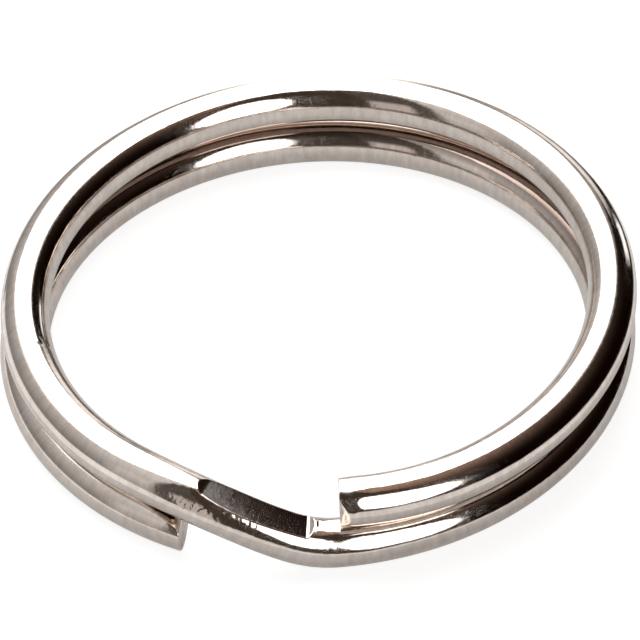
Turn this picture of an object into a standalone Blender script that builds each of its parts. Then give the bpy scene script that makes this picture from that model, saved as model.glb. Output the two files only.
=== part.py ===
"""Split key ring: one round spring wire wound into two turns that lie on each other.

The real ring is a single piece that opens by twisting along its length. Here the wire is
divided into nine stretches. Each turns on the next about the wire's own direction, so the
cut faces only turn in their own plane and the ring can be pried open at either free end.

Metres and degrees, +Z up. The lower turn rests on z = 0 and the ring's centre is on the Z axis.
A station is a place along the wire, in degrees counter-clockwise seen from above, so it is
also an azimuth from +X. The wire runs from the upper free end once round the upper turn,
steps down at the crank, and runs once round the lower turn to the lower free end.
"""
import math

import bmesh
import bpy
from mathutils import Matrix, Vector

# Driving dimensions
OUTER_DIAMETER = 0.0250
WIRE_DIAMETER = 0.00193
LEAST_GAP = 0.00004         # between the turns, where they are closest
TURN_TILT = 0.0162          # slope of the upper turn, because its free end is not quite closed
TILT_AZIMUTH = 55.0         # the direction in which the upper turn rises
LOWER_GROWTH = 0.00005      # how much larger the lower turn's radius is
TURN_SHIFT = Vector((0.00013, -0.00009, 0.0))    # from the lower turn's centre to the upper's

# Free ends: the station of the cut at the middle of the wire, and the skew of the sheared face
UPPER_CUT = -88.5
UPPER_SKEW = 13.0
LOWER_CUT = 601.0
LOWER_SKEW = 11.0
END_LIFT = 0.00019          # how far the upper free end springs up
LIFT_LENGTH = 27.5          # over this many degrees
PRESS_START = 590.4         # where the crank's die starts to flatten the lower free end
PRESS_SLOPE = 8.3           # and how steeply it does

# Crank: a straight ramp from the upper turn to the lower one, with a soft bend at each end
RAMP_START = 241.6
RAMP_END = 266.2
HEAD_FILLET = 0.50          # half the length of each bend, as a share of the ramp
FOOT_FILLET = 0.20

# Division into stretches, and how finely each is drawn
JOINT_GAP = 0.00005
STATION_STEP = 4.5
END_STEP = 0.5              # a short last step keeps the cut faces square to the wire
OVERRUN = 3.0               # degrees of wire that the shears cut off
BEVEL_RESOLUTION = 4        # makes a section of twelve sides
SECTION_SIDES = 12

NICKEL_COLOR = (0.66, 0.63, 0.60, 1.0)
NICKEL_ROUGHNESS = 0.12

RADIUS = WIRE_DIAMETER / 2
UPPER_RADIUS = OUTER_DIAMETER / 2 - RADIUS
LOWER_RADIUS = UPPER_RADIUS + LOWER_GROWTH
HALF_SIDE = math.pi / SECTION_SIDES
BEVEL_DEPTH = RADIUS / math.cos(HALF_SIDE)      # the flats of the section touch the round wire
DEGREE_LENGTH = math.radians(1.0) * UPPER_RADIUS

# Each stretch: its name, its first and last station, and the station of the joint it turns on
STRETCHES = (
    ("upper_free_end", UPPER_CUT, -45.0, -45.0),
    ("upper_right_arc", -45.0, 45.0, 45.0),
    ("upper_back_arc", 45.0, 135.0, 135.0),
    ("upper_left_arc", 135.0, 225.0, 225.0),
    ("crank", 225.0, 284.0, 284.0),
    ("lower_right_arc", 284.0, 374.0, 374.0),
    ("lower_back_arc", 374.0, 464.0, 464.0),
    ("lower_left_arc", 464.0, 554.0, 554.0),
    ("lower_free_end", 554.0, LOWER_CUT, 554.0),
)


def soft_ramp(share, head, foot):
    """A ramp from 0 to 1 with a parabolic fillet around each corner."""
    if abs(share) < head:
        return (share + head) ** 2 / (4 * head)
    if abs(1 - share) < foot:
        return 1 - (1 - share + foot) ** 2 / (4 * foot)
    return min(max(share, 0.0), 1.0)


def centre(station):
    """The middle of the wire at a station."""
    azimuth = math.radians(station)
    outward = Vector((math.cos(azimuth), math.sin(azimuth), 0.0))
    rise = Vector((math.cos(math.radians(TILT_AZIMUTH)), math.sin(math.radians(TILT_AZIMUTH)), 0.0))
    upper = TURN_SHIFT / 2 + UPPER_RADIUS * outward
    upper.z = RADIUS + WIRE_DIAMETER + LEAST_GAP + TURN_TILT * UPPER_RADIUS * (1 + outward.dot(rise))
    lifted = max(0.0, UPPER_CUT + LIFT_LENGTH - station) / LIFT_LENGTH
    upper.z += END_LIFT * lifted ** 2
    lower = -TURN_SHIFT / 2 + LOWER_RADIUS * outward
    lower.z = RADIUS
    ramp = (station - RAMP_START) / (RAMP_END - RAMP_START)
    return upper.lerp(lower, soft_ramp(ramp, HEAD_FILLET, FOOT_FILLET))


def tangent(station):
    """The wire's direction at a station, towards the lower free end."""
    return (centre(station + 0.01) - centre(station - 0.01)).normalized()


def stations_between(first, last):
    """Even stations from first to last, with a short step at each end."""
    inner = [first, first + END_STEP]
    station = (math.floor((first + END_STEP) / STATION_STEP) + 1) * STATION_STEP
    while station < last - END_STEP:
        if station - inner[-1] > END_STEP and last - END_STEP - station > END_STEP:
            inner.append(station)
        station += STATION_STEP
    return inner + [last - END_STEP, last]


def nickel(name):
    material = bpy.data.materials.new("nickel_" + name)
    material.use_nodes = True
    shader = material.node_tree.nodes["Principled BSDF"]
    shader.inputs["Base Color"].default_value = NICKEL_COLOR
    shader.inputs["Metallic"].default_value = 1.0
    shader.inputs["Roughness"].default_value = NICKEL_ROUGHNESS
    return material


def wire(name, first, last, pivot, collection):
    """A stretch of wire as a bevelled curve, with its origin on its joint."""
    curve = bpy.data.curves.new(name, "CURVE")
    curve.dimensions = "3D"
    curve.twist_mode = "Z_UP"
    curve.bevel_depth = BEVEL_DEPTH
    curve.bevel_resolution = BEVEL_RESOLUTION
    curve.use_fill_caps = True
    stations = stations_between(first, last)
    spline = curve.splines.new("POLY")
    spline.points.add(len(stations) - 1)
    origin = centre(pivot)
    for point, station in zip(spline.points, stations):
        point.co = (*(centre(station) - origin), 1.0)
        point.tilt = HALF_SIDE
    spline.use_smooth = True
    obj = bpy.data.objects.new(name, curve)
    obj.location = origin
    collection.objects.link(obj)
    curve.materials.append(nickel(name))
    return obj


def as_mesh(obj):
    """The curve object's solid as a mesh object, which can be cut."""
    bpy.context.view_layer.update()
    graph = bpy.context.evaluated_depsgraph_get()
    mesh = bpy.data.meshes.new_from_object(obj.evaluated_get(graph))
    solid = bmesh.new()
    solid.from_mesh(mesh)
    bmesh.ops.remove_doubles(solid, verts=solid.verts, dist=1e-7)
    bmesh.ops.recalc_face_normals(solid, faces=solid.faces)
    solid.to_mesh(mesh)
    solid.free()
    name = obj.name
    collection = obj.users_collection[0]
    matrix = obj.matrix_world.copy()
    bpy.data.objects.remove(obj)
    piece = bpy.data.objects.new(name, mesh)
    piece.matrix_world = matrix
    collection.objects.link(piece)
    mesh.name = name
    return piece


def cutting_block(name, point, normal, collection):
    """A block that fills the side of a plane that its normal points to."""
    size = 4 * WIRE_DIAMETER
    bpy.ops.mesh.primitive_cube_add(size=size)
    block = bpy.context.active_object
    block.name = name
    across = Vector((0.0, 0.0, 1.0)).cross(normal)
    if across.length < 0.5:
        across = point.normalized()
        across = (across - across.dot(normal) * normal)
    across.normalize()
    turn = Matrix((normal, across, normal.cross(across))).transposed()
    block.matrix_world = Matrix.Translation(point + normal * size / 2) @ turn.to_4x4()
    block.hide_render = True
    block.display_type = "WIRE"
    for owner in list(block.users_collection):
        owner.objects.unlink(block)
    collection.objects.link(block)
    return block


def cut(piece, block):
    difference = piece.modifiers.new(block.name, "BOOLEAN")
    difference.operation = "DIFFERENCE"
    difference.object = block


def shear(piece, station, skew, side, cutters):
    """Cut the wire off at a station. The outer side of the face lies further along the wire."""
    along = tangent(station) * Vector((1.0, 1.0, 0.0))
    along.normalize()
    outward = along.cross(Vector((0.0, 0.0, 1.0)))
    normal = along * math.cos(math.radians(skew)) - outward * math.sin(math.radians(skew))
    cut(piece, cutting_block(piece.name + "_shear", centre(station), side * normal, cutters))


def press_flat(piece, cutters):
    """Flatten the top of the lower free end, which the crank comes down over."""
    slope = math.radians(PRESS_SLOPE)
    along = tangent(PRESS_START)
    up = Vector((0.0, 0.0, 1.0))
    normal = up * math.cos(slope) + along * math.sin(slope)
    top = centre(PRESS_START) + up * RADIUS
    middle = top + (along * math.cos(slope) - up * math.sin(slope)) * WIRE_DIAMETER
    cut(piece, cutting_block(piece.name + "_press", middle, normal, cutters))


def build():
    for obj in list(bpy.data.objects):
        bpy.data.objects.remove(obj)
    parts = bpy.data.collections.new("split_key_ring")
    cutters = bpy.data.collections.new("cutters")
    bpy.context.scene.collection.children.link(parts)
    bpy.context.scene.collection.children.link(cutters)

    half_gap = JOINT_GAP / 2 / DEGREE_LENGTH
    pieces = {}
    for name, first, last, pivot in STRETCHES:
        before = OVERRUN if first == UPPER_CUT else -half_gap
        after = OVERRUN if last == LOWER_CUT else -half_gap
        pieces[name] = wire(name, first - before, last + after, pivot, parts)

    upper = as_mesh(pieces["upper_free_end"])
    shear(upper, UPPER_CUT, UPPER_SKEW, -1, cutters)
    lower = as_mesh(pieces["lower_free_end"])
    shear(lower, LOWER_CUT, LOWER_SKEW, 1, cutters)
    press_flat(lower, cutters)
    for piece in (upper, lower):
        piece.data.shade_smooth()
        piece.data.set_sharp_from_angle(angle=math.radians(40))
    bpy.context.view_layer.update()


build()
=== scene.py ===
"""The looks of the split key ring: one bright nickel-plated wire in a plain light tent.

Metres in the row frame; the surface marks are given in millimetres along and around the wire.
A station is a place along the wire, in degrees counter-clockwise seen from above: the wire
starts at the upper free end, makes the upper turn, steps down at the crank and makes the
lower turn. An angle is a place round the section: 0 faces out of the ring, 90 up, 180 in.
"""
import math

import bpy
import numpy as np
from mathutils import Matrix, Vector, noise


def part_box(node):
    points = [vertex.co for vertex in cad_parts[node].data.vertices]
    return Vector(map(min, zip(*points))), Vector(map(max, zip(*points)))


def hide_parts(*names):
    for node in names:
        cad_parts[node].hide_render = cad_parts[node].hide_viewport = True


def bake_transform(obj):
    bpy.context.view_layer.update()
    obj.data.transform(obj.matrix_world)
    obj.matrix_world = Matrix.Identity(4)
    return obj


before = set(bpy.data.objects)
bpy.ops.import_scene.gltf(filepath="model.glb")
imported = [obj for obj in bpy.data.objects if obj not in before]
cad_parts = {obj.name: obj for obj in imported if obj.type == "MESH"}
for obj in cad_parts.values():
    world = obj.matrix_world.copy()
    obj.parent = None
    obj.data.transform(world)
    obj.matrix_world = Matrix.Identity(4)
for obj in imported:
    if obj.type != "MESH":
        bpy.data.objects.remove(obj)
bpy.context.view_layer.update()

MM = 0.001

# The wire's centreline, with the driving dimensions of the CAD model
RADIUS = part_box("lower_back_arc")[1].z / 2
OUTER_RADIUS = 0.0125
LEAST_GAP = 0.00004
TURN_TILT = 0.0162
TILT_AZIMUTH = math.radians(55.0)
LOWER_GROWTH = 0.00005
TURN_SHIFT = np.array((0.00013, -0.00009, 0.0))
UPPER_CUT, LOWER_CUT = -88.5, 601.0
END_LIFT, LIFT_LENGTH = 0.00019, 27.5
PRESS_START = 590.4
RAMP_START, RAMP_END = 241.6, 266.2
HEAD_FILLET, FOOT_FILLET = 0.50, 0.20
UPPER_RADIUS = OUTER_RADIUS - RADIUS
LOWER_RADIUS = UPPER_RADIUS + LOWER_GROWTH
MM_PER_DEGREE = math.radians(1.0) * UPPER_RADIUS / MM

# Each piece of visible wire spans one joint, and meets the next in mid-stretch
JOINTS = (
    ("wire_upper_end", "upper_right_arc", "upper_free_end", -45.0, None, 0.0),
    ("wire_upper_back_right", "upper_back_arc", "upper_right_arc", 45.0, 0.0, 90.0),
    ("wire_upper_back_left", "upper_left_arc", "upper_back_arc", 135.0, 90.0, 180.0),
    ("wire_crank", "crank", "upper_left_arc", 225.0, 180.0, 254.0),
    ("wire_crank_foot", "lower_right_arc", "crank", 284.0, 254.0, 329.0),
    ("wire_lower_right", "lower_back_arc", "lower_right_arc", 374.0, 329.0, 419.0),
    ("wire_lower_back_left", "lower_left_arc", "lower_back_arc", 464.0, 419.0, 509.0),
    ("wire_lower_end", "lower_free_end", "lower_left_arc", 554.0, 509.0, None),
)
REPLACED = {
    "wire_upper_end": ("upper_free_end", "upper_right_arc"),
    "wire_upper_back_left": ("upper_back_arc", "upper_left_arc"),
    "wire_crank": ("crank",),
    "wire_crank_foot": ("lower_right_arc",),
    "wire_lower_back_left": ("lower_back_arc",),
    "wire_lower_end": ("lower_left_arc", "lower_free_end"),
}
BLEND_REACH = 22.0          # degrees on each side of a joint

SIDES = 96                  # vertices round the wire
LONG_STEP, CRANK_STEP = 0.75, 0.15
CRANK_ZONE = (228.0, 276.0)
EDGE_RADIUS, EDGE_STEPS = 0.035 * MM, 5        # of the edge round each sheared end
EDGE_CLEARANCE = 1.5        # edge radii from a sheared end in which there's no plain ring
FACE_RINGS = 12             # rings from the rim of a sheared end to its middle
PLATED, BROKEN = 0, 1       # the material slots of a piece


# ---------------------------------------------------------------- centreline

def soft_ramp(share, head, foot):
    """A ramp from 0 to 1 with a parabolic fillet around each corner."""
    plain = np.clip(share, 0.0, 1.0)
    eased = np.where(np.abs(share) < head, (share + head) ** 2 / (4 * head), plain)
    return np.where(np.abs(1 - share) < foot, 1 - (1 - share + foot) ** 2 / (4 * foot), eased)


def centre(station):
    """The middle of the wire at each station, as an array of points."""
    station = np.asarray(station, float)
    azimuth = np.radians(station)
    flat = np.stack((np.cos(azimuth), np.sin(azimuth), np.zeros_like(azimuth)), -1)
    upper = TURN_SHIFT / 2 + UPPER_RADIUS * flat
    upper[..., 2] = 3 * RADIUS + LEAST_GAP + TURN_TILT * UPPER_RADIUS * (
        1 + np.cos(azimuth - TILT_AZIMUTH))
    lifted = np.clip((UPPER_CUT + LIFT_LENGTH - station) / LIFT_LENGTH, 0.0, None)
    upper[..., 2] += END_LIFT * lifted ** 2
    lower = -TURN_SHIFT / 2 + LOWER_RADIUS * flat
    lower[..., 2] = RADIUS
    ramp = (station - RAMP_START) / (RAMP_END - RAMP_START)
    share = soft_ramp(ramp, HEAD_FILLET, FOOT_FILLET)[..., None]
    return upper * (1 - share) + lower * share


def axes(station):
    """The wire's direction, the outward direction and the upward one at each station."""
    forward = centre(np.asarray(station) + 0.01) - centre(np.asarray(station) - 0.01)
    forward /= np.linalg.norm(forward, axis=-1, keepdims=True)
    outward = np.cross(forward, (0.0, 0.0, 1.0))
    outward /= np.linalg.norm(outward, axis=-1, keepdims=True)
    return forward, outward, np.cross(outward, forward)


# ---------------------------------------------------------------- surface marks

def bump(offset, width):
    """A bell of height 1, in millimetres."""
    return np.exp(-(offset / width) ** 2)


def turned(angle, middle):
    """How far round the section an angle is from another, in degrees from -180 to 180."""
    return (angle - middle + 180.0) % 360.0 - 180.0


def around(angle, middle):
    """How far round the section an angle is from another, in millimetres."""
    return np.radians(turned(angle, middle)) * RADIUS / MM


def along(station, middle):
    """How far along the wire a station is from another, in millimetres."""
    return (station - middle) * MM_PER_DEGREE


def patch(station, angle, at, facing, reach, width):
    """A bell of height 1 with its own length along the wire and width around it."""
    return bump(along(station, at), reach) * bump(around(angle, facing), width)


SEED_SHIFT, NOISE_SPREAD = 17.3, 1.6


def rough(points, scale, seed):
    """Smooth noise from about -1 to 1 at points in millimetres; scale is its grain."""
    shape = points.shape[:-1]
    moved = points.reshape(-1, 3) / scale + seed * SEED_SHIFT
    return np.array([noise.noise(Vector(p)) for p in moved]).reshape(shape) * NOISE_SPREAD


# Station, angle, length along and width around in mm, depth in mm
DENTS = (
    (257.4, 97.0, 0.14, 0.07, 0.012),
    (258.6, 92.0, 0.12, 0.06, 0.012),
    (263.4, 88.0, 0.09, 0.12, 0.022),
    (266.6, 92.0, 0.08, 0.15, 0.030),
    (265.6, 72.0, 0.05, 0.20, 0.014),
    (275.8, 42.0, 0.75, 0.40, 0.021),
    (-87.2, 48.0, 0.07, 0.10, 0.012),
    (250.6, 108.0, 0.05, 0.04, 0.005),
    (251.8, 106.0, 0.04, 0.04, 0.005),
    (253.6, 98.0, 0.05, 0.04, 0.005),
    (597.3, 12.0, 0.07, 0.06, 0.012),
    (595.9, 30.0, 0.20, 0.05, 0.004),
    (599.3, 20.0, 0.10, 0.08, 0.006),
    (-82.9, 66.0, 0.07, 0.07, 0.010),
    (-87.0, 24.0, 0.12, 0.16, 0.014),
)
# Scratches and nicks across the wire: station, angle, lean in degrees of station, and the
# reach around, width along and depth in mm
SCRATCHES = (
    (192.4, 128.0, 1.2, 0.42, 0.035, 0.014),
    (190.8, 112.0, -0.8, 0.22, 0.030, 0.006),
    (121.3, 138.0, 1.5, 0.50, 0.022, 0.005),
    (8.5, 66.0, 0.6, 0.26, 0.030, 0.006),
    (9.6, 74.0, -0.5, 0.16, 0.024, 0.004),
    (40.5, 150.0, 2.0, 0.30, 0.022, 0.004),
    (166.0, 60.0, -1.6, 0.34, 0.026, 0.004),
    (330.0, 25.0, 1.0, 0.26, 0.024, 0.004),
    (500.0, -10.0, -1.4, 0.30, 0.024, 0.004),
    (425.0, 150.0, 1.4, 0.30, 0.024, 0.004),
)
# The skin lies a little under the round wire, and swells and sinks by this much
SKIN_DEPTH, SKIN_SWELL = 0.0065, 0.0012
# The die's folds where the crank starts to drop, and the torn skin further down it: station,
# angle, length along and width around in mm; then the depth and grain in mm
GRIP, GRIP_DEPTH, GRIP_GRAIN = (243.6, 30.0, 0.85, 0.20), 0.010, 0.125
TORN, TORN_DEPTH, TORN_GRAIN = (252.6, 50.0, 0.75, 0.17), 0.0075, 0.12
# The crank is pebbled all round: station, length along, depth and grain in mm
WORKED_AT, WORKED_REACH, WORKED_DEPTH, WORKED_GRAIN = 254.0, 2.6, 0.0013, 0.17
# A round punch mark near the lower free end: station, angle; radius, line and depth in mm
PUNCH_AT, PUNCH_FACING = 590.3, -22.0
PUNCH_RADIUS, PUNCH_LINE, PUNCH_DEPTH = 0.11, 0.03, 0.006

# The crank's flat starts with a step of this many mm, reached in this many degrees, and
# fades beyond its end; it leans into the ring, most at its start
FACET_START, FACET_END, FACET_FADE = 242.6, 264.0, 2.0
FACET_STEP, FACET_STEP_LENGTH = 0.066, 1.8
FACET_LEAN, FACET_START_LEAN, FACET_LEAN_REACH = -0.02, -0.02, (0.5, 9.0)
FACET_EDGE = 0.006 * MM
# The top of the lower end is pressed down in a slope, in mm per degree, and a lip, in mm
PRESS_SLOPE, PRESS_LIP, PRESS_EDGE = 0.0294, 0.12, 0.012 * MM
LEAST_EDGE = 1e-6 * MM

# The skin dragged down beside the upper end: depth in mm, length in degrees, and its side
ROLLED_DEPTH, ROLLED_LENGTH, ROLLED_FACING = 0.075, 3.4, 50.0
# The upper end's face in degrees of station: set back and skewed, with a chip on its outside
UPPER_DRAWN, UPPER_SET_BACK = 5.0, 0.62
UPPER_SKEW, UPPER_SKEW_FACING = 0.30, 40.0
UPPER_CHIP, UPPER_CHIP_FACING, UPPER_CHIP_WIDTH = 1.75, -5.0, 62.0
# The lower end's face: its station, its skew and the length of wire that is drawn to it
LOWER_SEEN, LOWER_SKEW, LOWER_DRAWN = 600.55, math.radians(15.5), 6.0


def relief(station, angle, place):
    """How deep the surface lies below the plain round wire, in metres."""
    depth = SKIN_DEPTH + SKIN_SWELL * rough(place * (1.0, 1.0, 0.35), 0.9, 1)
    for *where, deep in DENTS:
        depth += deep * patch(station, angle, *where)
    for at, facing, lean, reach, width, deep in SCRATCHES:
        side = around(angle, facing)
        line = along(station, at) - lean * MM_PER_DEGREE * side / reach / 2
        depth += deep * bump(line, width) / (1 + (side / reach) ** 8)
    folds = rough(place * (1.1, 1.1, 0.9), GRIP_GRAIN, 2)
    pebbles = rough(place, WORKED_GRAIN, 3)
    beads = rough(place, TORN_GRAIN, 4)
    depth += GRIP_DEPTH * patch(station, angle, *GRIP) * (1 + folds)
    depth += WORKED_DEPTH * bump(along(station, WORKED_AT), WORKED_REACH) * (1 + pebbles)
    depth += TORN_DEPTH * patch(station, angle, *TORN) * (1 + beads)
    ring = np.hypot(along(station, PUNCH_AT), around(angle, PUNCH_FACING)) - PUNCH_RADIUS
    depth += PUNCH_DEPTH * bump(ring, PUNCH_LINE)
    return np.maximum(depth, 0.0) * MM


def smooth_step(share):
    """A share of 0 to 1, eased at both ends."""
    share = np.clip(share, 0.0, 1.0)
    return share * share * (3 - 2 * share)


def facet_rise(station, start, end):
    """A smooth step from 0 to 1 between two distances, in degrees, from the start of the flat."""
    return smooth_step((station - FACET_START - start) / (end - start))


def facet_depth(station):
    """How deep the die has flattened the top of the crank: one straight slope, to a notch."""
    share = (station - RAMP_START) / (RAMP_END - RAMP_START)
    begin = (FACET_START - RAMP_START) / (RAMP_END - RAMP_START)
    curve = soft_ramp(share, HEAD_FILLET, FOOT_FILLET)
    slope = share - begin + soft_ramp(np.array(begin), HEAD_FILLET, FOOT_FILLET)
    inside = (station > FACET_START) * (1 - smooth_step((station - FACET_END) / FACET_FADE))
    step = FACET_STEP * facet_rise(station, 0.0, FACET_STEP_LENGTH)
    step -= FACET_STEP * (station - FACET_START) / (FACET_END - FACET_START)
    return np.maximum(np.maximum(slope - curve, 0.0) * 2 * RADIUS + step * MM, 0.0) * inside


def rolled_depth(station, angle):
    """How far the shear has dragged the wire's skin down beside the upper end."""
    near = np.clip(1 - (station - UPPER_CUT) / ROLLED_LENGTH, 0.0, 1.0) ** 2
    side = 0.45 + 0.55 * np.cos(np.radians(angle - ROLLED_FACING))
    return ROLLED_DEPTH * MM * near * side


def press_depth(station):
    """How much of the top of the lower free end the crank's die has flattened."""
    run = np.clip(station - PRESS_START, 0.0, None)
    return (PRESS_SLOPE * run + PRESS_LIP * (run / (LOWER_CUT - PRESS_START)) ** 8) * MM


# ---------------------------------------------------------------- the wire's surface

def ring_stations():
    """The stations of the rings, finer through the crank."""
    head = np.arange(UPPER_CUT, CRANK_ZONE[0], LONG_STEP)
    crank = np.arange(CRANK_ZONE[0], CRANK_ZONE[1], CRANK_STEP)
    tail = np.arange(CRANK_ZONE[1], LOWER_CUT + LONG_STEP / 2, LONG_STEP)
    return np.concatenate((head, crank, tail))


def flattened(height, level, edge):
    """A height cut off at a level, with a rounded corner."""
    return level - edge * np.logaddexp(0.0, (level - height) / edge)


def surface(station, angle, shrink):
    """Points on the finished surface, and their places on the wire in millimetres."""
    turn = np.radians(angle)
    run = station * MM_PER_DEGREE
    place = np.stack((RADIUS / MM * np.cos(turn), RADIUS / MM * np.sin(turn), run), -1)
    radius = RADIUS - shrink - relief(station, angle, place) - rolled_depth(station, angle)
    out = radius * np.cos(turn)
    up = radius * np.sin(turn)
    facet = facet_depth(station)
    tilt = FACET_LEAN + FACET_START_LEAN * (1 - facet_rise(station, *FACET_LEAN_REACH))
    lean = tilt * out
    level = RADIUS * np.hypot(1.0, tilt) - facet
    cut = flattened(up + lean, level, np.clip(facet, LEAST_EDGE, FACET_EDGE)) - lean
    up = np.where(facet > 0, cut, up)
    pressed = press_depth(station)
    cut = flattened(up, RADIUS - pressed, np.clip(pressed, LEAST_EDGE, PRESS_EDGE))
    up = np.where(pressed > 0, cut, up)
    _, outward, upward = axes(station)
    return centre(station) + outward * out[..., None] + upward * up[..., None], place


def drawn(station, angle):
    """Stations drawn out towards the two sheared ends, whose faces aren't square."""
    near = np.clip(1 - np.abs(station - UPPER_CUT) / UPPER_DRAWN, 0.0, 1.0) ** 2
    apart = np.abs(turned(angle, UPPER_CHIP_FACING))
    chip = np.clip(1 - apart / UPPER_CHIP_WIDTH, 0.0, 1.0)
    skew = UPPER_SKEW * np.cos(np.radians(angle - UPPER_SKEW_FACING)) * (1 - chip)
    moved = station + near * (UPPER_CHIP * smooth_step(chip) - UPPER_SET_BACK - skew)
    near = np.clip(1 - np.abs(station - LOWER_CUT) / LOWER_DRAWN, 0.0, 1.0) ** 2
    offset = RADIUS / MM * np.cos(np.radians(angle)) * math.tan(LOWER_SKEW)
    return moved + near * (LOWER_SEEN - LOWER_CUT + offset / MM_PER_DEGREE)


def wire_grid():
    """The side surface of the whole wire: points, normals, places and ring stations."""
    stations = ring_stations()
    edge = []
    for step in range(1, EDGE_STEPS + 1):
        turn = math.radians(90.0 * step / EDGE_STEPS)
        edge.append((EDGE_RADIUS * math.sin(turn), EDGE_RADIUS * (1 - math.cos(turn))))
    degree = MM_PER_DEGREE * MM
    roll = EDGE_RADIUS / degree
    clear = roll * EDGE_CLEARANCE
    stations = stations[(stations > UPPER_CUT + clear) & (stations < LOWER_CUT - clear)]
    first = [UPPER_CUT + roll - forward / degree for forward, _ in reversed(edge)]
    last = [LOWER_CUT - roll + forward / degree for forward, _ in edge]
    shrink = np.concatenate(([inset for _, inset in reversed(edge)], (0.0,),
                             np.zeros(len(stations)), (0.0,), [inset for _, inset in edge]))
    stations = np.concatenate((first, (UPPER_CUT + roll,), stations, (LOWER_CUT - roll,), last))
    angles = np.arange(SIDES) * 360.0 / SIDES
    rows, columns = np.meshgrid(stations, angles, indexing="ij")
    rows = drawn(rows, columns)
    points, places = surface(rows, columns, shrink[:, None])
    forward = np.gradient(points, axis=0)
    sideways = np.roll(points, -1, axis=1) - np.roll(points, 1, axis=1)
    normals = np.cross(sideways, forward)
    normals /= np.linalg.norm(normals, axis=-1, keepdims=True)
    if np.sum(normals[len(stations) // 2, 0] * axes(stations[len(stations) // 2])[1]) < 0:
        normals = -normals
    return points, normals, places, stations


# A sheared face in mm: its depth inside the rim and in the middle, the steps where it broke
# away, and the fine grain of the break and of the whole face
FACE_SINK, TIP_SINK, BREAK_DEPTH, BREAK_GRAIN, FACE_GRAIN = 0.012, 0.05, 0.045, 0.012, 0.004
RING_BEHIND = 8             # rings from a sheared end to the one that tells its direction


def end_face(rim, rim_places, direction, seed):
    """A sheared end: rings from its rim to its middle, with the break's rough relief."""
    middle = rim.mean(axis=0)
    place_middle = rim_places.mean(axis=0)
    rings, places = [], []
    for step in range(1, FACE_RINGS):
        share = 1 - step / FACE_RINGS
        ring = middle + (rim - middle) * share
        place = place_middle + (rim_places - place_middle) * share
        # the top half is smooth where the blade slid, the rest broke away
        height = (rim[:, 2] - middle[2]) * share / RADIUS
        broken = np.clip(0.5 - 1.4 * height, 0.0, 1.0)
        ease = min(1.0, 5 * (1 - share))
        coarse = rough(place * (1.0, 1.0, 0.0), 0.34, seed)
        fine = rough(place * (2.2, 0.6, 0.0), 0.10, seed + 1)
        steps = broken * (BREAK_DEPTH * (1 + coarse) + BREAK_GRAIN * fine)
        depth = FACE_SINK + steps + FACE_GRAIN * fine
        rings.append(ring - direction * (depth * ease * MM)[:, None])
        places.append(place)
    tip = middle - direction * TIP_SINK * MM
    return rings, places, tip, place_middle


def outward_direction(rim, inner):
    """The direction out of the wire at a sheared end, from its rim and a ring behind it."""
    direction = np.cross(rim[SIDES // 4] - rim[0], rim[SIDES // 2] - rim[0])
    direction /= np.linalg.norm(direction)
    outside = np.dot(direction, rim.mean(axis=0) - inner.mean(axis=0))
    return -direction if outside < 0 else direction


def strip(ring, next_ring):
    """The quads between two rings of vertex numbers."""
    return [(ring[side - 1], ring[side], next_ring[side], next_ring[side - 1])
            for side in [*range(1, SIDES), 0]]


def sheared_faces(ring, start):
    """The faces of a sheared end inside its rim; its own vertices are numbered from start."""
    faces = []
    for _ in range(FACE_RINGS - 1):
        inside = list(range(start, start + SIDES))
        faces += strip(ring, inside)
        ring, start = inside, start + SIDES
    return faces + [(ring[side - 1], ring[side], start) for side in [*range(1, SIDES), 0]]


def make_mesh(name, grid, first, last):
    """One closed piece of the wire, from ring first to ring last."""
    points, normals, places, stations = grid
    rows = last - first + 1
    verts = list(points[first:last + 1].reshape(-1, 3))
    spots = list(places[first:last + 1].reshape(-1, 3))
    shade = normals[first:last + 1].reshape(-1, 3)
    faces = []
    for row in range(rows - 1):
        low, high = row * SIDES, (row + 1) * SIDES
        for side in range(SIDES):
            beside = (side + 1) % SIDES
            faces.append((low + side, high + side, high + beside, low + beside))
    smooth, finish = [True] * len(faces), [PLATED] * len(faces)
    for row, index, behind in ((0, first, first + RING_BEHIND),
                               (rows - 1, last, last - RING_BEHIND)):
        ring = list(range(row * SIDES, (row + 1) * SIDES))
        if index not in (0, len(stations) - 1):
            # the flat face where two pieces meet
            cap = [ring]
            smooth.append(False)
            finish.append(PLATED)
        else:
            rim = points[index]
            direction = outward_direction(rim, points[behind])
            rings, ring_places, tip, tip_place = end_face(rim, places[index], direction, 5 + row)
            cap = sheared_faces(ring, len(verts))
            verts += [*np.concatenate(rings), tip]
            spots += [*np.concatenate(ring_places), tip_place]
            smooth += [True] * len(cap)
            finish += [BROKEN] * len(cap)
        faces += cap if row == 0 else [face[::-1] for face in cap]
    mesh = bpy.data.meshes.new(name)
    mesh.from_pydata([tuple(v) for v in verts], [], faces)
    mesh.update()
    mesh.polygons.foreach_set("use_smooth", smooth)
    mesh.polygons.foreach_set("material_index", finish)
    spot = mesh.attributes.new("wire_place", "FLOAT_VECTOR", "POINT")
    spot.data.foreach_set("vector", np.array(spots, np.float32).ravel())
    # the side keeps the whole wire's own normals, so that pieces meet without a seam
    auto = [tuple(normal.vector) for normal in mesh.corner_normals]
    for poly in mesh.polygons:
        if poly.use_smooth and poly.material_index == PLATED:
            for corner in poly.loop_indices:
                auto[corner] = tuple(shade[mesh.loops[corner].vertex_index])
    mesh.normals_split_custom_set(auto)
    mesh.update()
    return mesh


# ---------------------------------------------------------------- materials

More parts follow.
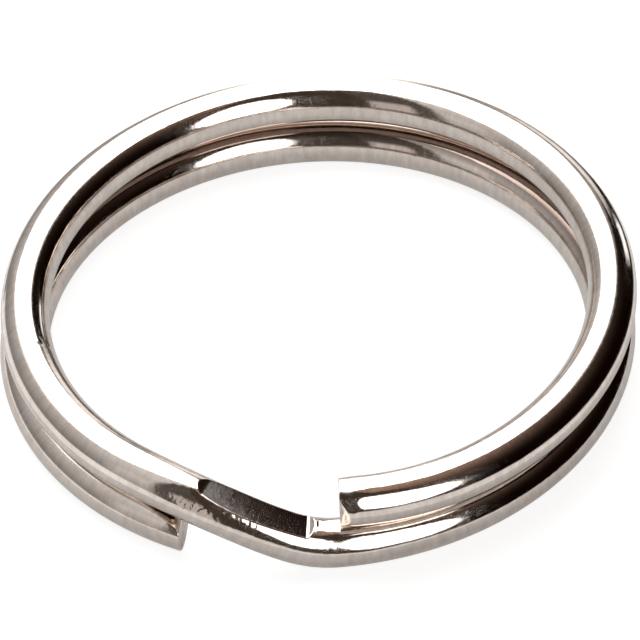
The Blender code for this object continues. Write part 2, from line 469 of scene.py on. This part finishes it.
class Graph:
    """Short names for adding linked nodes to a node tree."""

    def __init__(self, tree):
        self.tree = tree

    def node(self, kind, **settings):
        """A new node with these settings."""
        node = self.tree.nodes.new(kind)
        for key, value in settings.items():
            setattr(node, key, value)
        return node

    def feed(self, socket, value):
        """Links a socket to an output, or sets its value."""
        if isinstance(value, bpy.types.NodeSocket):
            self.tree.links.new(value, socket)
        else:
            socket.default_value = value

    def math(self, operation, *values):
        """The result of one operation on numbers."""
        node = self.node("ShaderNodeMath", operation=operation)
        for socket, value in zip(node.inputs, values):
            self.feed(socket, value)
        return node.outputs[0]

    def vector(self, operation, *values):
        """The result of one operation on vectors; SCALE takes a vector and a number."""
        node = self.node("ShaderNodeVectorMath", operation=operation)
        sockets = [node.inputs[0], node.inputs["Scale"]] if operation == "SCALE" else node.inputs
        for socket, value in zip(sockets, values):
            self.feed(socket, value)
        return node.outputs[0]

    def grey(self, value):
        """A number as a vector with three equal parts."""
        node = self.node("ShaderNodeCombineXYZ")
        for socket in node.inputs:
            self.feed(socket, value)
        return node.outputs[0]

    def ramp(self, value, low, high, start=0.0, end=1.0, smooth=True):
        """A value's way from low to high, as a number from start to end."""
        kind = "SMOOTHSTEP" if smooth else "LINEAR"
        node = self.node("ShaderNodeMapRange", interpolation_type=kind, clamp=True)
        for socket, number in zip(node.inputs, (value, low, high, start, end)):
            self.feed(socket, number)
        return node.outputs[0]

    def noise(self, place, scale, detail, roughness=0.5):
        """Noise from 0 to 1, with so many grains to a unit of place."""
        node = self.node("ShaderNodeTexNoise")
        self.feed(node.inputs["Vector"], place)
        node.inputs["Scale"].default_value = scale
        node.inputs["Detail"].default_value = detail
        node.inputs["Roughness"].default_value = roughness
        return node.outputs["Fac"]

    def mix(self, share, low, high):
        """A colour between two colours."""
        node = self.node("ShaderNodeMix", data_type="RGBA")
        # the colour sockets come after those for numbers and vectors
        for index, value in ((0, share), (6, low), (7, high)):
            self.feed(node.inputs[index], value)
        return node.outputs[2]

    def parts(self, vector):
        """The x, y and z of a vector."""
        node = self.node("ShaderNodeSeparateXYZ")
        self.feed(node.inputs[0], vector)
        return node.outputs

    def marks(self, *layers):
        """The surface normal under several layers of relief, each a height and a depth in mm."""
        normal = None
        for height, depth in layers:
            node = self.node("ShaderNodeBump")
            node.inputs["Strength"].default_value = 1.0
            node.inputs["Distance"].default_value = depth * MM
            self.feed(node.inputs["Height"], height)
            if normal is not None:
                self.feed(node.inputs["Normal"], normal)
            normal = node.outputs[0]
        return normal

    def stretched(self, place, stretch, scale, detail, roughness=0.5):
        """Noise whose grain differs along the three axes."""
        return self.noise(self.vector("MULTIPLY", place, stretch), scale, detail, roughness)


def new_material(name):
    """A material, its graph and its shader."""
    material = bpy.data.materials.new(name)
    material.use_nodes = True
    return material, Graph(material.node_tree), material.node_tree.nodes["Principled BSDF"]


def metal(name):
    """A metal, its graph and shader, and the place on the wire in mm: across, up and along."""
    material, graph, shader = new_material(name)
    shader.inputs["Metallic"].default_value = 1.0
    place = graph.node("ShaderNodeAttribute", attribute_name="wire_place").outputs["Vector"]
    return material, graph, shader, place


NICKEL, NICKEL_RUBBED = (0.700, 0.622, 0.565, 1.0), (0.735, 0.665, 0.610, 1.0)
# painted shade: the dark brown given to the crevice under the upper turn
NICKEL_CLEFT_SHADE = (0.27, 0.205, 0.175, 1.0)
NICKEL_BROKEN, NICKEL_SMEARED = (0.56, 0.49, 0.44, 1.0), (0.72, 0.65, 0.60, 1.0)
CHATTER_DARK, CHATTER_RANGE = 0.90, 0.22       # the plate's brightness varies with the rolls'
POLISHED, DRAWN_ROUGH, WORN_ROUGH, HAIR_ROUGH = 0.02, 0.05, 0.035, 0.05
# Painted shade in the crevice on top of the lower turn, under the upper turn, in mm up, across
# and along
CLEFT_SHADE_UP, CLEFT_SHADE_IN, CLEFT_SHADE_START = (0.56, 0.84), (-0.20, 0.15), (56.0, 59.0)


def bright_nickel():
    """Polished plate over drawn wire: fine lines along the wire, light scratches, pits, and
    painted shade in the crevice under the upper turn.
    """
    material, graph, shader, place = metal("bright_nickel")
    lines = graph.stretched(place, (9.0, 9.0, 0.22), 1.6, 4.0, 0.62)
    fine_lines = graph.stretched(place, (30.0, 30.0, 0.9), 1.0, 2.0)
    peel = graph.noise(place, 4.5, 2.0)
    grain = graph.noise(place, 22.0, 3.0, 0.6)
    # hairline scratches run where the noise crosses its middle
    hairs = graph.stretched(place, (3.0, 2.0, 11.0), 2.2, 1.0)
    hair = graph.ramp(graph.math("ABSOLUTE", graph.math("SUBTRACT", hairs, 0.52)), 0.0, 0.006,
                      1.0, 0.0)
    worn = graph.ramp(graph.noise(place, 0.55, 3.0), 0.42, 0.66)
    # marks of the rolls across the wire
    chatter = graph.stretched(place, (1.2, 1.2, 3.2), 1.0, 4.0, 0.65)
    chatter = graph.ramp(chatter, 0.30, 0.70, smooth=False)
    plate = graph.mix(worn, NICKEL, NICKEL_RUBBED)
    plate = graph.vector("SCALE", plate,
                         graph.math("MULTIPLY_ADD", chatter, CHATTER_RANGE, CHATTER_DARK))
    across, up, run = graph.parts(place)
    # painted shade: the plate turns dark brown in the crevice on top of the lower turn, under the
    # upper turn
    cleft_shade = graph.math("MULTIPLY", graph.ramp(up, *CLEFT_SHADE_UP),
                       graph.ramp(across, *CLEFT_SHADE_IN, 1.0, 0.0))
    cleft_shade = graph.math("MULTIPLY", cleft_shade, graph.ramp(run, *CLEFT_SHADE_START))
    graph.feed(shader.inputs["Base Color"], graph.mix(cleft_shade, plate, NICKEL_CLEFT_SHADE))
    roughness = graph.math("ADD", graph.math("MULTIPLY", lines, DRAWN_ROUGH), POLISHED)
    for mask, share in ((worn, WORN_ROUGH), (hair, HAIR_ROUGH)):
        roughness = graph.math("ADD", roughness, graph.math("MULTIPLY", mask, share))
    graph.feed(shader.inputs["Roughness"], roughness)
    graph.feed(shader.inputs["Normal"], graph.marks(
        (lines, 0.0014), (fine_lines, 0.00022), (peel, 0.0019), (chatter, 0.0006),
        (grain, 0.00018), (hair, 0.0004)))
    return material


def sheared_nickel():
    """The plated break at a cut end: coarse, streaked by the blade, and less bright."""
    material, graph, shader, place = metal("sheared_nickel")
    streaks = graph.stretched(place, (14.0, 1.6, 1.0), 1.3, 4.0, 0.6)
    grain = graph.noise(place, 11.0, 4.0, 0.65)
    tone = graph.mix(graph.ramp(grain, 0.35, 0.7), NICKEL_BROKEN, NICKEL_SMEARED)
    graph.feed(shader.inputs["Base Color"], tone)
    graph.feed(shader.inputs["Roughness"],
               graph.math("ADD", graph.math("MULTIPLY", grain, 0.25), 0.12))
    graph.feed(shader.inputs["Normal"], graph.marks((streaks, 0.006), (grain, 0.004)))
    return material


WHITE = (1.0, 1.0, 1.0, 1.0)
FLOOR_DARK, FLOOR_LIGHT = (0.34, 0.34, 0.34, 1.0), (0.36, 0.36, 0.36, 1.0)
FLOOR_GLOW, FLOOR_GLOW_SEEN = 0.27, 0.53       # its own light, and the rest that the camera sees


def white_floor():
    """White acrylic, lit a little from below, so that the ring's shadow stays faint."""
    material, graph, shader = new_material("white_floor")
    place = graph.node("ShaderNodeTexCoord").outputs["Object"]
    mottle = graph.noise(place, 60.0, 2.0)
    graph.feed(shader.inputs["Base Color"], graph.mix(mottle, FLOOR_DARK, FLOOR_LIGHT))
    shader.inputs["Roughness"].default_value = 0.9
    shader.inputs["Specular IOR Level"].default_value = 0.0
    shader.inputs["Emission Color"].default_value = WHITE
    direct = graph.node("ShaderNodeLightPath").outputs["Is Camera Ray"]
    graph.feed(shader.inputs["Emission Strength"],
               graph.math("MULTIPLY_ADD", direct, FLOOR_GLOW_SEEN, FLOOR_GLOW))
    return material


ROOF_HEIGHT = 90 * MM
ROOF_WIDTH = 172 * MM
ROOF_ARC_POINTS = 49
ROOF_MIDDLE = -24 * MM
ROOF_FRONT, ROOF_CORNER = -8 * MM, 78 * MM
ROOF_BACK, ROOF_BACK_RIGHT, ROOF_BACK_LEFT = 380 * MM, 44 * MM, -30 * MM
# The roof brightens from its left edge over this width, and fades out near its right edge
ROOF_LEFT_SOFT, ROOF_LEFT_LEVEL, ROOF_LEVEL = 52 * MM, 0.9, 3.4
ROOF_RIGHT_SOFT, ROOF_RIGHT_END, ROOF_RIGHT_LEVEL = 28 * MM, 4 * MM, 0.05


def roof_glow():
    """A lit diffuser, dimmer towards its side edges, and slightly uneven."""
    material, graph, shader = new_material("roof_glow")
    place = graph.node("ShaderNodeTexCoord").outputs["Object"]
    side, edge = graph.parts(place)[0], ROOF_WIDTH / 2
    level = graph.ramp(side, -edge, -edge + ROOF_LEFT_SOFT, ROOF_LEFT_LEVEL, ROOF_LEVEL)
    right = graph.ramp(side, edge - ROOF_RIGHT_SOFT, edge - ROOF_RIGHT_END, 1.0,
                       ROOF_RIGHT_LEVEL)
    level = graph.math("MULTIPLY", level, right)
    uneven = graph.ramp(graph.noise(place, 30.0, 2.0), 0.3, 0.7, 0.96, 1.04)
    shader.inputs["Base Color"].default_value = (0.0, 0.0, 0.0, 1.0)
    shader.inputs["Specular IOR Level"].default_value = 0.0
    shader.inputs["Emission Color"].default_value = WHITE
    graph.feed(shader.inputs["Emission Strength"], graph.math("MULTIPLY", level, uneven))
    return material


# ---------------------------------------------------------------- studio

# Directions in the tent are degrees: azimuth 0 is the ring's right and 90 its back. They are
# counted from -232 to 128, so that no range below crosses the end of the count.
LEAST_AZIMUTH = -232.0
ROOM_COLOR, ROOM_GLOW, ROOM_GLOW_TOP = (0.0045, 0.0018, 0.0009), (0.40, 0.275, 0.215), 78.0
# Patches of the tent: colour; azimuths from and to, and softness; the same for elevations
PATCHES = (
    # the backdrop behind the ring, in folds of different brightness
    ((0.85, 0.84, 0.84), (59.0, 76.0, 3.0), (4.0, 20.0, 2.5)),
    ((1.6, 1.6, 1.6), (46.0, 55.0, 2.5), (-8.0, 8.0, 3.5)),
    ((0.34, 0.33, 0.32), (64.0, 86.0, 3.0), (-6.0, 40.0, 4.0)),
    ((1.7, 1.7, 1.7), (84.0, 94.0, 3.0), (-12.0, 30.0, 6.0)),
    ((0.12, 0.12, 0.12), (94.0, 125.0, 3.0), (-6.0, 30.0, 5.0)),
    # the camera's side
    ((0.060, 0.048, 0.040), (-116.0, -46.0, 2.5), None),
    # a lighter panel left of the camera, and the dark gap beyond it
    ((0.54, 0.51, 0.49), (-132.0, -116.0, 2.0), (-90.0, 30.0, 8.0)),
    ((0.10, 0.088, 0.080), (-143.0, -115.0, 2.0), None),
    # the near edge of the grey wall
    ((0.22, 0.215, 0.21), (-164.0, -143.0, 5.0), (-10.0, 32.0, 10.0)),
)
WALL_LOW, WALL_HIGH, WALL_TOP = (0.29, 0.285, 0.28), (0.56, 0.55, 0.54), 60.0
# The window strip: the middle and half width of its azimuths and of its elevations
WINDOW_COLOR, WINDOW_AZIMUTH, WINDOW_ELEVATION = (3.2, 3.2, 3.2), (-66.8, 19.0), (27.0, 28.5)
WINDOW_CORNER, WINDOW_SOFT = 2.4, (0.82, 1.18)
PAPER_COLOR, PAPER_LEVEL, PAPER_LEFT, PAPER_SHALLOW = (1.0, 0.995, 0.985), 0.88, 0.18, 0.65
BACKGROUND_SEEN = (0.95, 0.95, 0.95, 1.0)


def light_tent():
    """The world: a window strip, a grey wall, the dark room beyond and paper below."""
    world = bpy.data.worlds.new("light_tent")
    bpy.context.scene.world = world
    world.use_nodes = True
    graph = Graph(world.node_tree)
    background = world.node_tree.nodes["Background"]
    x, y, z = graph.parts(graph.node("ShaderNodeTexCoord").outputs["Generated"])
    azimuth = graph.math("DEGREES", graph.math("ARCTAN2", y, x))
    azimuth = graph.math("FLOORED_MODULO", graph.math("SUBTRACT", azimuth, LEAST_AZIMUTH), 360.0)
    azimuth = graph.math("ADD", azimuth, LEAST_AZIMUTH)
    elevation = graph.math("DEGREES", graph.math("ARCSINE", z))

    def between(value, low, high, soft):
        rising = graph.ramp(value, low - soft, low + soft)
        falling = graph.ramp(value, high - soft, high + soft, 1.0, 0.0)
        return graph.math("MULTIPLY", rising, falling)

    def outside(left_from, left_to, right_from, right_to):
        """The far side of the tent, on both sides of where the azimuths' count ends."""
        return graph.math("ADD", graph.ramp(azimuth, left_from, left_to, 1.0, 0.0),
                          graph.ramp(azimuth, right_from, right_to))

    def add(total, color, *masks):
        level = masks[0]
        for mask in masks[1:]:
            level = graph.math("MULTIPLY", level, mask)
        return graph.vector("ADD", total, graph.vector("SCALE", color, level))

    def off_middle(value, middle, half):
        """How far a value is from a middle, as a power of its share of the half width."""
        share = graph.math("DIVIDE", graph.math("SUBTRACT", value, middle), half)
        return graph.math("POWER", graph.math("ABSOLUTE", share), WINDOW_CORNER)

    # the dark room on the right, warmer and lighter towards the roof
    room = between(azimuth, -46.0, 92.0, 3.0)
    glow = graph.ramp(elevation, 0.0, ROOM_GLOW_TOP, smooth=False)
    total = add((0.0, 0.0, 0.0), ROOM_COLOR, room)
    total = add(total, ROOM_GLOW, room, graph.math("POWER", glow, 4.0))
    for color, azimuths, elevations in PATCHES:
        masks = [between(azimuth, *azimuths)]
        if elevations:
            masks.append(between(elevation, *elevations))
        total = add(total, color, *masks)
    # the grey wall on the left, brighter upwards
    wall = outside(-146.0, -140.0, 91.0, 97.0)
    total = add(total, WALL_LOW, wall)
    total = add(total, WALL_HIGH, wall, graph.ramp(elevation, 0.0, WALL_TOP, smooth=False))
    # the window strip at the front right, with rounded corners
    edge = graph.math("ADD", off_middle(azimuth, *WINDOW_AZIMUTH),
                      off_middle(elevation, *WINDOW_ELEVATION))
    total = add(total, WINDOW_COLOR, graph.ramp(edge, *WINDOW_SOFT, 1.0, 0.0))
    # the white paper far below: its near edge lies under the horizon, except behind the ring
    behind = between(azimuth, 66.0, 99.0, 9.0)
    horizon = graph.math("ADD", graph.math("MULTIPLY", behind, 13.0),
                         graph.ramp(azimuth, -70.0, 45.0, -9.0, -20.0))
    paper = graph.ramp(graph.math("SUBTRACT", horizon, elevation), -2.5, 2.5)
    left = outside(-162.0, -138.0, 93.0, 117.0)
    shallow = graph.math("MULTIPLY", behind, graph.ramp(elevation, -46.0, -26.0))
    level = graph.math("MULTIPLY_ADD", shallow, PAPER_SHALLOW, PAPER_LEVEL)
    level = graph.math("MULTIPLY_ADD", left, PAPER_LEFT, level)
    level = graph.math("MULTIPLY", level, graph.ramp(elevation, -75.0, -22.0, 0.74, 1.0))
    total = graph.vector("MULTIPLY", total, graph.grey(graph.math("SUBTRACT", 1.0, paper)))
    total = add(total, PAPER_COLOR, paper, level)
    # seen directly, the tent is plain pale
    camera_ray = graph.node("ShaderNodeLightPath").outputs["Is Camera Ray"]
    graph.feed(background.inputs["Color"], graph.mix(camera_ray, total, BACKGROUND_SEEN))
    background.inputs["Strength"].default_value = 1.0


def studio_roof():
    """A soft box over the ring and behind it: round at the front, narrower at the back."""
    outline = []
    for turn in np.linspace(math.pi, 2 * math.pi, ROOF_ARC_POINTS):
        outline.append((ROOF_WIDTH / 2 * math.cos(turn),
                        ROOF_FRONT + ROOF_CORNER * (1 + math.sin(turn)), 0.0))
    outline += [(ROOF_BACK_RIGHT, ROOF_BACK, 0.0), (ROOF_BACK_LEFT, ROOF_BACK, 0.0)]
    mesh = bpy.data.meshes.new("studio_roof")
    mesh.from_pydata(outline, [], [tuple(range(len(outline)))])
    mesh.materials.append(roof_glow())
    roof = bpy.data.objects.new("studio_roof", mesh)
    roof.location = (ROOF_MIDDLE, 0.0, ROOF_HEIGHT)
    roof.visible_camera = False
    bpy.context.scene.collection.objects.link(roof)


def flat_disc(name, radius, height, material):
    """A round sheet that lies flat, as part of the studio."""
    bpy.ops.mesh.primitive_circle_add(vertices=96, radius=radius, fill_type="NGON",
                                      location=(0.0, 0.0, height))
    disc = bpy.context.active_object
    disc.name = name
    disc.data.materials.append(material)
    return disc


FLOOR_RADIUS, NEAR_RADIUS = 3.0, 16.5 * MM
FLOOR_LEVEL, NEAR_LEVEL = -0.02 * MM, -0.01 * MM


def studio_floor():
    """The camera sees a wide floor; the metal sees only the part near the ring."""
    white = white_floor()
    floor = flat_disc("studio_floor", FLOOR_RADIUS, FLOOR_LEVEL, white)
    floor.visible_glossy = False
    near = flat_disc("studio_floor_near", NEAR_RADIUS, NEAR_LEVEL, white)
    near.visible_camera = False
    near.visible_diffuse = False
    near.visible_shadow = False


CAMERA_DISTANCE = 250 * MM
CAMERA_AZIMUTH = math.radians(-0.50)           # 0 looks along +Y
CAMERA_ELEVATION = math.radians(43.42)
CAMERA_TILT = math.radians(3.79)               # the level line rises to the right by this
CAMERA_LENS = 357.5
AIM = (0.076 * MM, -0.248 * MM)      # right of and above the ring's middle
MIDDLE = Vector((0.0, 0.0, 2.1 * MM))


def studio_camera():
    """The camera at the photograph's angle."""
    level = math.cos(CAMERA_ELEVATION)
    back = Vector((math.sin(CAMERA_AZIMUTH) * level, -math.cos(CAMERA_AZIMUTH) * level,
                   math.sin(CAMERA_ELEVATION)))
    right = Vector((0.0, 0.0, 1.0)).cross(back).normalized()
    up = back.cross(right)
    target = MIDDLE + right * AIM[0] + up * AIM[1]
    rolled_right = right * math.cos(CAMERA_TILT) - up * math.sin(CAMERA_TILT)
    rolled_up = right * math.sin(CAMERA_TILT) + up * math.cos(CAMERA_TILT)
    camera = bpy.data.objects.new("camera", bpy.data.cameras.new("camera"))
    turn = Matrix((rolled_right, rolled_up, back)).transposed().to_4x4()
    camera.matrix_world = Matrix.Translation(target + back * CAMERA_DISTANCE) @ turn
    camera.data.lens = CAMERA_LENS
    camera.data.sensor_width = 36.0
    camera.data.clip_start = 0.01
    bpy.context.scene.collection.objects.link(camera)
    bpy.context.scene.camera = camera


# ---------------------------------------------------------------- assembly

def build_wire():
    """The pieces of wire, each spanning its joint."""
    grid = wire_grid()
    stations = grid[-1]
    finishes = (bright_nickel(), sheared_nickel())
    for name, inner_body, outer_body, joint, first, last in JOINTS:
        start = 0 if first is None else int(np.argmin(np.abs(stations - first)))
        end = len(stations) - 1 if last is None else int(np.argmin(np.abs(stations - last)))
        piece = bpy.data.objects.new(name, make_mesh(name, grid, start, end))
        bpy.context.scene.collection.objects.link(piece)
        for finish in finishes:
            piece.data.materials.append(finish)
        near, far = centre(joint - BLEND_REACH), centre(joint + BLEND_REACH)
        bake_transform(piece)
        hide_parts(*REPLACED.get(name, ()))


studio_camera()
light_tent()
studio_floor()
studio_roof()
build_wire()
bpy.context.scene.view_settings.view_transform = "Standard"
